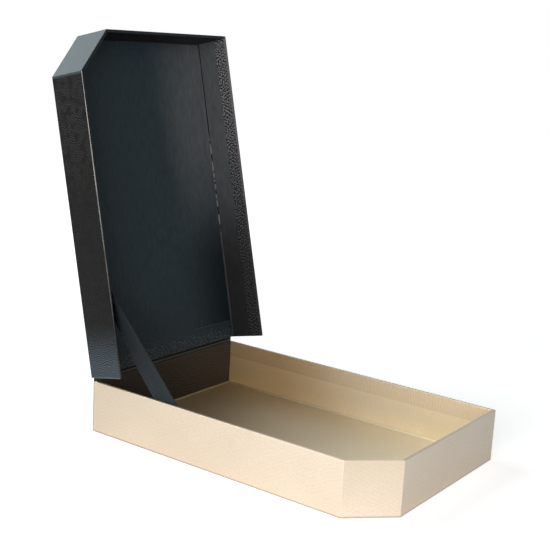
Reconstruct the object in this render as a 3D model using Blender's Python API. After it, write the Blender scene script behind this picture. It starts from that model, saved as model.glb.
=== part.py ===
"""Rigid gift box with a hinged, telescoping lid and one clipped corner, built as its maker builds it.

Greyboard walls are taped at the corners with paper stays, wrapped in paper that turns over every rim, and lined.
The lid hangs from the wrap at the tray's rear top edge and leans back against a ribbon stay, as it is shown.

Frame: +X along the hinge, +Y from the front towards the hinge, +Z up. The origin is the centre of the tray's
underside. Lengths are in metres.
"""

import math

import bmesh
import bpy
from mathutils import Matrix, Vector

# Tray, outside
TRAY_WIDTH = 0.1965
TRAY_LENGTH = 0.300
TRAY_HEIGHT = 0.0475
CLIP_LEG = 0.034

# Lid, outside
LID_DEPTH = 0.0373
LID_SIDE_CLEARANCE = 0.0004
LID_FRONT_CLEARANCE = 0.0012
LID_REST_GAP = 0.0005
LID_OPENING_DEG = 102.2
LID_REAR_SETBACK = 0.0003
LEFT_WALL_SPLAY = 0.0015
RIGHT_WALL_SPLAY = 0.0038

# Stock: boards, papers and the glue line between neighbours
WALL_BOARD = 0.0015
PANEL_BOARD = 0.0020
PAPER = 0.00025
BOTTOM_SHEET = 0.0003
STAY_PAPER = 0.00015
GLUE_GAP = 0.0002
FIT_GAP = 0.0002

# Wrap, liners and stays
TRAY_TURN_IN = 0.016
LID_TURN_IN = 0.013
TURN_UNDER = 0.012
BOTTOM_SHEET_INSET = 0.001
CORNER_RADIUS = 0.0010
FOLD_RADIUS = 0.0006
STAY_ARM = 0.011
STAY_END_MARGIN = 0.0020
HINGE_STRIP_ON_LID = 0.018
CREASE_GAP = 0.0005

# Ribbon stay
RIBBON_WIDTH = 0.020
RIBBON_THICKNESS = 0.0003
RIBBON_RISE_DEG = 46.3
RIBBON_FROM_HINGE = 0.0834
RIBBON_SLACK_BULGE = 0.0015

# Fineness of the facets
CORNER_STEPS = 4
FOLD_STEPS = 3
SPLAY_STEPS = 8
RIBBON_STEPS = 16
WELD = 1e-7
SHARP_ANGLE_DEG = 35
STRAIGHT_ENOUGH_DEG = 1

# Where the layers of a wall and of a panel lie, counted inwards from the outer face
STAY_DEPTH = PAPER + GLUE_GAP
BOARD_DEPTH = STAY_DEPTH + STAY_PAPER + GLUE_GAP
INNER_PAPER_DEPTH = BOARD_DEPTH + WALL_BOARD + GLUE_GAP
WALL = INNER_PAPER_DEPTH + PAPER
LID_PANEL_BOARD_DEPTH = PAPER + GLUE_GAP
LID_PANEL_LINER_DEPTH = LID_PANEL_BOARD_DEPTH + PANEL_BOARD + GLUE_GAP
LID_PANEL = LID_PANEL_LINER_DEPTH + PAPER

# Levels of the tray's floor, from the table up
TURN_UNDER_LEVEL = BOTTOM_SHEET + GLUE_GAP
FLOOR_BOARD_LEVEL = TURN_UNDER_LEVEL + PAPER + GLUE_GAP
FLOOR_LINER_LEVEL = FLOOR_BOARD_LEVEL + PANEL_BOARD + GLUE_GAP
FLOOR_LEVEL = FLOOR_LINER_LEVEL + PAPER
BOARD_TOP_LEVEL = TRAY_HEIGHT - PAPER - GLUE_GAP
TRAY_LINER_TOP_LEVEL = TRAY_HEIGHT - TRAY_TURN_IN - FIT_GAP

# The hinge line: the outer rear edge of the lid's panel, over the tray's back wall
HINGE_Y = TRAY_LENGTH / 2
HINGE_Z = TRAY_HEIGHT + LID_REST_GAP + LID_PANEL
LID_LINER_LEVEL = -LID_DEPTH + LID_TURN_IN + FIT_GAP
LID_BOARD_END_LEVEL = -LID_DEPTH + PAPER + GLUE_GAP
LID_WALL_END_Y = -LID_REAR_SETBACK
LID_INNER_END_Y = LID_WALL_END_Y - PAPER - FIT_GAP

# The lid wrap's flat top starts here, inside the rounded corners of its folded sides
PANEL_FACE_INSET = 2 * CORNER_RADIUS

# name: (base colour, roughness, metallic)
FINISHES = {
    "gold_paper": ((0.72, 0.58, 0.38), 0.42, 0.35),
    "gold_liner": ((0.62, 0.52, 0.34), 0.55, 0.15),
    "black_grain_paper": ((0.035, 0.036, 0.038), 0.5, 0.0),
    "black_liner": ((0.03, 0.036, 0.04), 0.6, 0.0),
    "hinge_cloth": ((0.04, 0.03, 0.025), 0.7, 0.0),
    "greyboard": ((0.35, 0.34, 0.32), 0.9, 0.0),
    "stay_tape": ((0.55, 0.44, 0.3), 0.8, 0.0),
    "ribbon": ((0.045, 0.055, 0.065), 0.65, 0.0),
}


def clear_scene():
    for obj in list(bpy.data.objects):
        bpy.data.objects.remove(obj, do_unlink=True)


def make_materials():
    made = {}
    for name, (colour, roughness, metallic) in FINISHES.items():
        material = bpy.data.materials.new(name)
        material.use_nodes = True
        shader = material.node_tree.nodes["Principled BSDF"]
        shader.inputs["Base Color"].default_value = (*colour, 1)
        shader.inputs["Roughness"].default_value = roughness
        shader.inputs["Metallic"].default_value = metallic
        made[name] = material
    return made


def add_object(name, bm, material, parent, smooth=False):
    bmesh.ops.remove_doubles(bm, verts=bm.verts, dist=WELD)
    bmesh.ops.recalc_face_normals(bm, faces=bm.faces)
    mesh = bpy.data.meshes.new(name)
    bm.to_mesh(mesh)
    bm.free()
    if smooth:
        mesh.shade_smooth()
        mesh.set_sharp_from_angle(angle=math.radians(SHARP_ANGLE_DEG))
    mesh.materials.append(material)
    obj = bpy.data.objects.new(name, mesh)
    bpy.context.scene.collection.objects.link(obj)
    obj.parent = parent
    return obj


def add_empty(name, location, tilt_deg):
    empty = bpy.data.objects.new(name, None)
    bpy.context.scene.collection.objects.link(empty)
    empty.location = location
    empty.rotation_euler.x = math.radians(tilt_deg)
    return empty


# Outlines and runs. An outline is a closed list of corners with its inside on the left. A run is a part of one:
# its points, and the inward vector at either end that goes one unit square to the wall.


def left_of(a, b):
    along = (b - a).normalized()
    return Vector((-along.y, along.x))


def mitre(before, after):
    return (before + after) / (1 + before.dot(after))


def clipped_outline(half_width, front, rear, clip_leg):
    """Corners from the rear left round the clipped front left corner to the rear right."""
    return [
        Vector((-half_width, rear)),
        Vector((-half_width, front + clip_leg)),
        Vector((-half_width + clip_leg, front)),
        Vector((half_width, front)),
        Vector((half_width, rear)),
    ]


def outline_mitres(outline):
    sides = [left_of(a, b) for a, b in zip(outline, outline[1:] + outline[:1])]
    return [mitre(sides[i - 1], sides[i]) for i in range(len(sides))]


def polygon_at(outline, offset):
    """The closed outline moved inwards by offset, with sharp corners."""
    return [p + m * offset for p, m in zip(outline, outline_mitres(outline))]


def run_between(outline, first, last, gap, mitred):
    """The walls from corner first to corner last, cut back by gap at both ends, on the mitre or square."""
    count = last - first if last > first else last - first + len(outline)
    points = [outline[(first + i) % len(outline)].copy() for i in range(count + 1)]
    mitres = outline_mitres(outline)
    start = mitres[first] if mitred else left_of(points[0], points[1])
    end = mitres[last] if mitred else left_of(points[-2], points[-1])
    points[0] += (points[1] - points[0]).normalized() * gap
    points[-1] += (points[-2] - points[-1]).normalized() * gap
    return points, start, end


def run_round_corner(outline, corner, arm):
    """A short run that reaches arm along the wall on either side of one corner."""
    before = outline[corner - 1]
    here = outline[corner]
    after = outline[(corner + 1) % len(outline)]
    first = here + (before - here).normalized() * arm
    last = here + (after - here).normalized() * arm
    return [first, here, last], left_of(before, here), left_of(here, after)


def split_side(a, b, steps):
    return [a.lerp(b, i / steps) for i in range(1, steps)]


def split_long_sides(run, steps):
    """Adds points along the first and last walls of a run, so that a splay can twist them."""
    points, start, end = run
    fine = [points[0], *split_side(points[0], points[1], steps), *points[1:]]
    if len(points) > 2:
        fine[-1:] = [*split_side(points[-2], points[-1], steps), points[-1]]
    return fine, start, end


def run_at(run, offset, radius, steps):
    """The run's points moved inwards by offset, each corner turned on an arc about one shared centre."""
    points, start, end = run
    found = [points[0] + start * offset]
    for before, here, after in zip(points, points[1:], points[2:]):
        n1 = left_of(before, here)
        n2 = left_of(here, after)
        turn = n2.angle_signed(n1, 0)
        if abs(turn) < math.radians(STRAIGHT_ENOUGH_DEG):
            found.append(here + n1 * offset)
            continue
        inward = mitre(n1, n2)
        for k in range(steps + 1):
            outward = Matrix.Rotation(turn * k / steps, 2) @ -n1
            if offset < radius:
                found.append(here + inward * radius + outward * (radius - offset))
            else:
                found.append(here + inward * offset)
    found.append(points[-1] + end * offset)
    return found


def folded_profile(corners, thickness):
    """The cross-section of a sheet folded at each corner, as its outer face and then its inner face."""
    points = [Vector(c) for c in corners]
    fold = (points, left_of(points[0], points[1]), left_of(points[-2], points[-1]))
    outer = run_at(fold, 0, FOLD_RADIUS, FOLD_STEPS)
    inner = run_at(fold, thickness, FOLD_RADIUS, FOLD_STEPS)
    return outer, inner[::-1]


def rectangle(depth, thickness, low, high):
    return [
        Vector((depth, low)),
        Vector((depth + thickness, low)),
        Vector((depth + thickness, high)),
        Vector((depth, high)),
    ]


def no_lean(point):
    return Vector((0, 0))


def grid_of(bm, run, profile, lean):
    """One row of vertices for each point of the profile, along the whole run."""
    rows = []
    for depth, level in profile:
        row = run_at(run, depth, CORNER_RADIUS, CORNER_STEPS)
        rows.append([bm.verts.new((*(p + lean(p) * level), level)) for p in row])
    return rows


def skin_between(bm, rows):
    """Two triangles for each cell, all split the same way up, so that the layers of a twisted wall stay apart."""
    for first, second in zip(rows, rows[1:]):
        low, high = (first, second) if first[0].co.z < second[0].co.z else (second, first)
        for i in range(len(low) - 1):
            bm.faces.new((low[i], low[i + 1], high[i + 1]))
            bm.faces.new((low[i], high[i + 1], high[i]))


def sweep(name, run, profile, material, parent, lean=no_lean, smooth=False):
    """A closed cross-section carried along the run, with flat ends."""
    bm = bmesh.new()
    rows = grid_of(bm, run, profile, lean)
    skin_between(bm, rows + rows[:1])
    bm.faces.new([row[0] for row in rows])
    bm.faces.new([row[-1] for row in reversed(rows)])
    return add_object(name, bm, material, parent, smooth)


def plate(name, polygon, low, high, material, parent):
    bm = bmesh.new()
    bottom = [bm.verts.new((p.x, p.y, low)) for p in polygon]
    top = [bm.verts.new((p.x, p.y, high)) for p in polygon]
    bm.faces.new(bottom)
    bm.faces.new(top)
    for i, vert in enumerate(bottom):
        after = (i + 1) % len(bottom)
        bm.faces.new((vert, bottom[after], top[after], top[i]))
    return add_object(name, bm, material, parent)


# Tray


def build_tray(materials, parent):
    outline = clipped_outline(TRAY_WIDTH / 2, -TRAY_LENGTH / 2, TRAY_LENGTH / 2, CLIP_LEG)
    names = ["left", "clip", "front", "right", "back"]
    board_section = rectangle(BOARD_DEPTH, WALL_BOARD, FLOOR_BOARD_LEVEL, BOARD_TOP_LEVEL)
    for side, name in enumerate(names):
        run = run_between(outline, side, (side + 1) % len(outline), FIT_GAP, True)
        sweep(f"tray_{name}_board", run, board_section, materials["greyboard"], parent)

    floor_inset = BOARD_DEPTH + WALL_BOARD + FIT_GAP
    floor = polygon_at(outline, floor_inset)
    top = FLOOR_BOARD_LEVEL + PANEL_BOARD
    plate("tray_floor_board", floor, FLOOR_BOARD_LEVEL, top, materials["greyboard"], parent)

    stay_section = rectangle(
        STAY_DEPTH, STAY_PAPER, FLOOR_BOARD_LEVEL + STAY_END_MARGIN, BOARD_TOP_LEVEL - STAY_END_MARGIN
    )
    corner_names = ["rear_left", "clip_left", "clip_front", "front_right", "rear_right"]
    for corner, name in enumerate(corner_names):
        run = run_round_corner(outline, corner, STAY_ARM)
        sweep(f"tray_stay_{name}", run, stay_section, materials["stay_tape"], parent, smooth=True)

    # The gold wrap runs from one rear corner to the other; its ends lie under the spine cover
    wrap_run = run_between(outline, 0, 4, PAPER + FIT_GAP, True)
    outer, inner = folded_profile(
        [
            (WALL, TRAY_HEIGHT - TRAY_TURN_IN),
            (WALL, TRAY_HEIGHT),
            (0, TRAY_HEIGHT),
            (0, TURN_UNDER_LEVEL),
            (TURN_UNDER, TURN_UNDER_LEVEL),
        ],
        PAPER,
    )
    sweep("tray_wrap", wrap_run, outer + inner, materials["gold_paper"], parent, smooth=True)

    liner_section = rectangle(INNER_PAPER_DEPTH, PAPER, FLOOR_LINER_LEVEL, TRAY_LINER_TOP_LEVEL)
    liner_run = run_between(outline, 0, 4, PAPER + FIT_GAP, True)
    sweep("tray_wall_liner", liner_run, liner_section, materials["gold_liner"], parent)

    liner = polygon_at(outline, WALL + FIT_GAP)
    plate("tray_floor_liner", liner, FLOOR_LINER_LEVEL, FLOOR_LEVEL, materials["gold_liner"], parent)

    sheet = polygon_at(outline, BOTTOM_SHEET_INSET)
    plate("tray_bottom_sheet", sheet, 0, BOTTOM_SHEET, materials["gold_liner"], parent)

    # The lid's wrap goes on down the back of the tray as far as the table edge
    back_square = run_between(outline, 4, 0, 0, False)
    spine_section = rectangle(0, PAPER, TURN_UNDER_LEVEL, HINGE_Z - CREASE_GAP)
    sweep("spine_cover", back_square, spine_section, materials["black_grain_paper"], parent)

    back_run = run_between(outline, 4, 0, FIT_GAP, True)
    outer, inner = folded_profile(
        [(WALL, FLOOR_LINER_LEVEL), (WALL, TRAY_HEIGHT), (PAPER + FIT_GAP, TRAY_HEIGHT)], PAPER
    )
    sweep("hinge_lining_tray", back_run, outer + inner, materials["hinge_cloth"], parent, smooth=True)


# Lid, drawn shut in its hinge's frame: the hinge line is X, the front lies towards -Y, the inside faces -Z


def lid_outline():
    half_width = TRAY_WIDTH / 2 + LID_SIDE_CLEARANCE + WALL
    front = -(TRAY_LENGTH + LID_FRONT_CLEARANCE + WALL)
    # The clipped wall stays outside the tray's by the side clearance
    tray_line = -TRAY_WIDTH / 2 - TRAY_LENGTH + CLIP_LEG
    lid_line = tray_line - (LID_SIDE_CLEARANCE + WALL) * math.sqrt(2)
    clip_leg = lid_line + half_width - front
    return clipped_outline(half_width, front, LID_WALL_END_Y, clip_leg)


def lid_lean(point):
    """How far a side wall stands outwards for each unit of depth: most at its free rear end, none at the front."""
    corner_y = lid_outline()[1].y if point.x < 0 else lid_outline()[3].y
    splay = LEFT_WALL_SPLAY if point.x < 0 else RIGHT_WALL_SPLAY
    share = min(max((point.y - corner_y) / (LID_WALL_END_Y - corner_y), 0), 1)
    outward = 1 if point.x < 0 else -1
    return Vector((outward * splay * share / LID_DEPTH, 0))


def build_lid(materials, parent):
    outline = lid_outline()
    names = ["left", "clip", "front", "right"]
    rear_cut = PAPER + FIT_GAP
    board_section = rectangle(BOARD_DEPTH, WALL_BOARD, LID_BOARD_END_LEVEL, -LID_PANEL_BOARD_DEPTH)
    for side, name in enumerate(names):
        run = wall_run(outline, side, rear_cut)
        sweep(f"lid_{name}_board", run, board_section, materials["greyboard"], parent, lid_lean)

    cut_outline = [*outline]
    cut_outline[0] = Vector((outline[0].x, LID_INNER_END_Y + BOARD_DEPTH + WALL_BOARD + FIT_GAP))
    cut_outline[4] = Vector((outline[4].x, cut_outline[0].y))
    panel = polygon_at(cut_outline, BOARD_DEPTH + WALL_BOARD + FIT_GAP)
    low = -LID_PANEL_BOARD_DEPTH - PANEL_BOARD
    plate("lid_panel_board", panel, low, -LID_PANEL_BOARD_DEPTH, materials["greyboard"], parent)

    stay_section = rectangle(
        STAY_DEPTH, STAY_PAPER, LID_BOARD_END_LEVEL + STAY_END_MARGIN, -LID_PANEL_BOARD_DEPTH - STAY_END_MARGIN
    )
    for corner, name in ((1, "clip_left"), (2, "clip_front"), (3, "front_right")):
        run = run_round_corner(outline, corner, STAY_ARM)
        sweep(f"lid_stay_{name}", run, stay_section, materials["stay_tape"], parent, lid_lean, True)

    build_lid_wrap(outline, materials, parent)

    liner_section = rectangle(INNER_PAPER_DEPTH, PAPER, LID_LINER_LEVEL, -LID_PANEL_LINER_DEPTH)
    liner_run = split_long_sides(run_between(outline, 0, 4, rear_cut, False), SPLAY_STEPS)
    sweep("lid_wall_liner", liner_run, liner_section, materials["black_liner"], parent, lid_lean)

    inner_half = outline[4].x - WALL - FIT_GAP
    strip = [
        Vector((-inner_half, LID_INNER_END_Y)),
        Vector((-inner_half, -HINGE_STRIP_ON_LID)),
        Vector((inner_half, -HINGE_STRIP_ON_LID)),
        Vector((inner_half, LID_INNER_END_Y)),
    ]
    plate("hinge_lining_lid", strip, -LID_PANEL, -LID_PANEL_LINER_DEPTH, materials["hinge_cloth"], parent)

    liner = polygon_at(outline, WALL + FIT_GAP)
    liner[0].y = -HINGE_STRIP_ON_LID - FIT_GAP
    liner[4].y = liner[0].y
    plate("lid_panel_liner", liner, -LID_PANEL, -LID_PANEL_LINER_DEPTH, materials["black_liner"], parent)


def wall_run(outline, side, rear_cut):
    """One wall's run between its corners: square where it ends at the hinge, on the mitre elsewhere."""
    points, start, end = run_between(outline, side, side + 1, FIT_GAP, True)
    if side == 0:
        points[0] = outline[0] + (outline[1] - outline[0]).normalized() * rear_cut
        start = left_of(outline[0], outline[1])
    if side == 3:
        points[1] = outline[4] + (outline[3] - outline[4]).normalized() * rear_cut
        end = left_of(outline[3], outline[4])
    run = (points, start, end)
    return split_long_sides(run, SPLAY_STEPS) if side in (0, 3) else run


def build_lid_wrap(outline, materials, parent):
    """One sheet: over the panel, down the walls, round their rims and in, and round the walls' free rear ends."""
    run = split_long_sides(run_between(outline, 0, 4, 0, False), SPLAY_STEPS)
    outer, inner = folded_profile(
        [
            (PANEL_FACE_INSET, 0),
            (0, 0),
            (0, -LID_DEPTH),
            (WALL, -LID_DEPTH),
            (WALL, -LID_DEPTH + LID_TURN_IN),
        ],
        PAPER,
    )
    bm = bmesh.new()
    rows = grid_of(bm, run, outer + inner, lid_lean)
    skin_between(bm, rows)
    bm.faces.new([row[0] for row in rows])
    bm.faces.new([row[-1] for row in reversed(rows)])
    bm.faces.new(rows[0])
    bm.faces.new(rows[-1])
    bm.faces.new((rows[0][0], rows[-1][0], rows[-1][-1], rows[0][-1]))
    wrap = add_object("lid_wrap", bm, materials["black_grain_paper"], parent, smooth=True)

    flap_section = rectangle(PAPER / 2, WALL - PAPER, -LID_DEPTH + PAPER / 2, -PAPER / 2)
    for side, name in ((0, "left"), (3, "right")):
        a, b = outline[side], outline[side + 1]
        rear, front = (a, b) if side == 0 else (b, a)
        near = rear + (front - rear).normalized() * PAPER
        points = [rear, near] if side == 0 else [near, rear]
        square = left_of(a, b)
        flap = sweep(f"{name}_end_flap", (points, square, square), flap_section, materials["black_grain_paper"],
                     parent, lid_lean)
        flap.hide_render = True
        flap.display_type = "WIRE"
        union = wrap.modifiers.new(f"{name} end flap", "BOOLEAN")
        union.operation = "UNION"
        union.object = flap


# Ribbon stay


def build_ribbon(materials, parent):
    """A flat strip inside the left walls. It comes out over the wall liner and goes in at the lid's panel."""
    rise = math.radians(RIBBON_RISE_DEG)
    along = Vector((math.cos(rise), math.sin(rise)))
    across = Vector((-along.y, along.x))
    centre = Vector((HINGE_Y - RIBBON_FROM_HINGE, TRAY_HEIGHT))
    lean = math.radians(LID_OPENING_DEG - 90)
    panel_in = Vector((-math.cos(lean), math.sin(lean)))
    panel_point = Vector((HINGE_Y, HINGE_Z)) + panel_in * (LID_PANEL + FIT_GAP)
    edges = []
    for side in (1, -1):
        base = centre + across * side * RIBBON_WIDTH / 2
        low = base + along * ((TRAY_LINER_TOP_LEVEL + 2 * FIT_GAP - base.y) / along.y)
        reach = (panel_point - base).dot(panel_in) / along.dot(panel_in)
        edges.append((low, base + along * reach))
    wall_face = -TRAY_WIDTH / 2 + WALL + FIT_GAP
    bm = bmesh.new()
    sections = []
    for k in range(RIBBON_STEPS + 1):
        share = k / RIBBON_STEPS
        section = []
        for low, high in edges:
            point = low.lerp(high, share)
            free = min(max((point.y - TRAY_HEIGHT) / (high.y - TRAY_HEIGHT), 0), 1)
            face = wall_face + RIBBON_SLACK_BULGE * math.sin(math.pi * free) ** 2
            section.append(bm.verts.new((face, point.x, point.y)))
            section.append(bm.verts.new((face + RIBBON_THICKNESS, point.x, point.y)))
        a0, a1, b0, b1 = section
        sections.append((a0, a1, b1, b0))
    for first, second in zip(sections, sections[1:]):
        for i in range(4):
            after = (i + 1) % 4
            bm.faces.new((first[i], first[after], second[after], second[i]))
    bm.faces.new(sections[0])
    bm.faces.new(sections[-1])
    add_object("ribbon_stay", bm, materials["ribbon"], parent, smooth=True)


def main():
    clear_scene()
    materials = make_materials()
    tray = add_empty("tray", (0, 0, 0), 0)
    lid_hinge = add_empty("lid_hinge", (0, HINGE_Y, HINGE_Z), -LID_OPENING_DEG)
    build_tray(materials, tray)
    build_lid(materials, lid_hinge)
    build_ribbon(materials, tray)


main()
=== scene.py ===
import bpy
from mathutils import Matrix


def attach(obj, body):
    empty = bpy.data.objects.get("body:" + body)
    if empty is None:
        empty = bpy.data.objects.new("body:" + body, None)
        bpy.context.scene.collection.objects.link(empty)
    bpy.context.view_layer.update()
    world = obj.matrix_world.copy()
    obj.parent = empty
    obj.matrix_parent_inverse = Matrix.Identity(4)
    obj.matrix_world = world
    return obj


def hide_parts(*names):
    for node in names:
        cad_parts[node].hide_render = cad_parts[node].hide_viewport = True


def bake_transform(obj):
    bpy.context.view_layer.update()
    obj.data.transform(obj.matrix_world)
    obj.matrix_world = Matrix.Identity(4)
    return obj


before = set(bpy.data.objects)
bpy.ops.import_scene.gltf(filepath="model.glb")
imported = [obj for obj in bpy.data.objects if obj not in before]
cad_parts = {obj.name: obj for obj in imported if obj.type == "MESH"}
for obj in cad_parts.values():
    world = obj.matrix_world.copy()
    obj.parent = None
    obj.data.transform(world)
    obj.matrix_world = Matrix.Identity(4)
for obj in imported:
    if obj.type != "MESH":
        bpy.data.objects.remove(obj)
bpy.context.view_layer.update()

import math

import bmesh
import bpy
import numpy as np
from mathutils import Matrix, Vector

# The part's own sizes, in metres, as its source names them
TRAY_WIDTH = 0.1965
TRAY_LENGTH = 0.300
TRAY_HEIGHT = 0.0475
CLIP_LEG = 0.034
WALL = 0.00275
PAPER = 0.00025
FIT_GAP = 0.0002
FLOOR_TOP = 0.0034
LINER_TOP_LEVEL = 0.0313
LID_PANEL = 0.0029
LID_HALF_WIDTH = 0.1014
LID_FRONT = 0.30395
LID_CLIP_LEG = 0.03665
LID_OPENING_DEG = 102.2
HINGE_Y = 0.150
HINGE_Z = 0.0509
HINGE_STRIP_ON_LID = 0.018
SPINE_FOOT = 0.0005

# The liners' raised edges, in the lid and on the tray's floor
COVE = 0.0004
FLOOR_COVE = 0.0013

# Camera, solved from the photograph's edges against the part's own corners
PHOTO_PIXELS = 550
CAMERA_PLACE = (-0.75529, -0.51034, 0.35371)
CAMERA_YAW_DEG = 54.5217
CAMERA_PITCH_DEG = 12.2516
CAMERA_ROLL_DEG = 3.3643
FOCAL_PIXELS = 1074.42
SENSOR = 36.0


def lid_point(along, depth):
    """Y and Z of the open lid, from how far along the panel and how deep inside its outer face."""
    lean = math.radians(LID_OPENING_DEG - 90)
    y = HINGE_Y + math.sin(lean) * along - math.cos(lean) * depth
    z = HINGE_Z + math.cos(lean) * along + math.sin(lean) * depth
    return (y, z)


# Camera, lights and floor

FLOOR_SIDE = 8.0
FLOOR_COLOUR = (0.8, 0.8, 0.8)
FLOOR_ROUGH = 0.9
# How far out the floor turns as white as the backdrop, and how much of that white it shows
FLOOR_REACH = (0.45, 1.3)
FLOOR_LIFT = (0.70, 1.0)
BACKDROP_COLOUR = (1, 1, 1)
BACKDROP_STRENGTH = 1.0
ROOM_COLOUR = (0.90, 0.96, 1.0)
ROOM_STRENGTH = 0.04

# Each lamp's place, the point it looks at, its side, its power and its colour
LAMPS = {
    "back": ((-0.25, 1.3, 1.35), (0, 0.1, 0.15), 1.2, 18.0, (0.90, 0.98, 1.0)),
    "left_front": ((-1.5, -0.6, 0.5), (0, 0, 0.1), 0.8, 16.0, (1.0, 0.98, 0.95)),
    "left_low": ((-1.7, -0.2, 0.35), (0, 0, 0.1), 0.6, 8.0, (1.0, 0.98, 0.95)),
}


def add_camera():
    yaw = math.radians(CAMERA_YAW_DEG)
    pitch = math.radians(CAMERA_PITCH_DEG)
    roll = math.radians(CAMERA_ROLL_DEG)
    forward = Vector((math.sin(yaw) * math.cos(pitch), math.cos(yaw) * math.cos(pitch), -math.sin(pitch)))
    level = Vector((math.cos(yaw), -math.sin(yaw), 0))
    upright = level.cross(forward)
    right = level * math.cos(roll) + upright * math.sin(roll)
    up = upright * math.cos(roll) - level * math.sin(roll)
    data = bpy.data.cameras.new("camera")
    data.sensor_width = SENSOR
    data.lens = SENSOR * FOCAL_PIXELS / PHOTO_PIXELS
    camera = bpy.data.objects.new("camera", data)
    bpy.context.scene.collection.objects.link(camera)
    turn = Matrix((right, up, -forward)).transposed()
    camera.matrix_world = Matrix.Translation(CAMERA_PLACE) @ turn.to_4x4()
    bpy.context.scene.camera = camera


def add_lamp(name, place, target, side, power, colour):
    data = bpy.data.lights.new(name, "AREA")
    data.shape = "SQUARE"
    data.size = side
    data.energy = power
    data.color = colour
    lamp = bpy.data.objects.new(name, data)
    bpy.context.scene.collection.objects.link(lamp)
    lamp.location = place
    lamp.rotation_mode = "QUATERNION"
    lamp.rotation_quaternion = (Vector(target) - Vector(place)).to_track_quat("-Z", "Y")


def seen_or_mirrored(tree):
    """1 for what the camera sees by itself, in metal or through glass, and 0 for light on the object."""
    ways = tree.nodes.new("ShaderNodeLightPath").outputs
    seen = ways["Is Camera Ray"]
    for way in ("Is Glossy Ray", "Is Transmission Ray"):
        either = tree.nodes.new("ShaderNodeMath")
        either.operation = "MAXIMUM"
        tree.links.new(seen, either.inputs[0])
        tree.links.new(ways[way], either.inputs[1])
        seen = either.outputs[0]
    return seen


def add_world():
    world = bpy.data.worlds.new("studio")
    bpy.context.scene.world = world
    world.use_nodes = True
    tree = world.node_tree
    tree.nodes.clear()
    out = tree.nodes.new("ShaderNodeOutputWorld")
    mix = tree.nodes.new("ShaderNodeMixShader")
    tree.links.new(seen_or_mirrored(tree), mix.inputs[0])
    glows = ((1, ROOM_COLOUR, ROOM_STRENGTH), (2, BACKDROP_COLOUR, BACKDROP_STRENGTH))
    for place, colour, strength in glows:
        glow = tree.nodes.new("ShaderNodeBackground")
        glow.inputs["Color"].default_value = (*colour, 1)
        glow.inputs["Strength"].default_value = strength
        tree.links.new(glow.outputs[0], mix.inputs[place])
    tree.links.new(mix.outputs[0], out.inputs[0])


def add_floor():
    """A pale floor. Away from the box it shows as white as the backdrop, and near it keeps its shadow."""
    mesh = bpy.data.meshes.new("floor")
    half = FLOOR_SIDE / 2
    corners = [(-half, -half, 0), (half, -half, 0), (half, half, 0), (-half, half, 0)]
    mesh.from_pydata(corners, [], [(0, 1, 2, 3)])
    floor = bpy.data.objects.new("floor", mesh)
    bpy.context.scene.collection.objects.link(floor)
    paint = Paint("floor_paper", FLOOR_ROUGH, Specular_IOR_Level=0.0)
    paint.colour(FLOOR_COLOUR)
    paint.shader.inputs["Emission Color"].default_value = (1, 1, 1, 1)
    reach = paint.vector("LENGTH", paint.place(), output="Value")
    lift = paint.ranged(reach, *FLOOR_REACH, *FLOOR_LIFT)
    glow = paint.times(lift, seen_or_mirrored(paint.tree))
    paint.feed(paint.shader.inputs["Emission Strength"], glow)
    mesh.materials.append(paint.material)


# Materials

# How squarely a face has to look one way to count as facing it, as level, as the clipped corner's slanted
# wall, and as a wall that isn't slanted
FACE_SHARE = 0.7
LEVEL_SHARE = 0.75
SLANTED_SHARE = 0.5
SQUARE_SHARE = 0.9

# Where most values of a noise lie, and what makes its push reach as far as it is told
NOISE_SPAN = (0.3, 0.7)
PUSH_GAIN = 4


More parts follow.
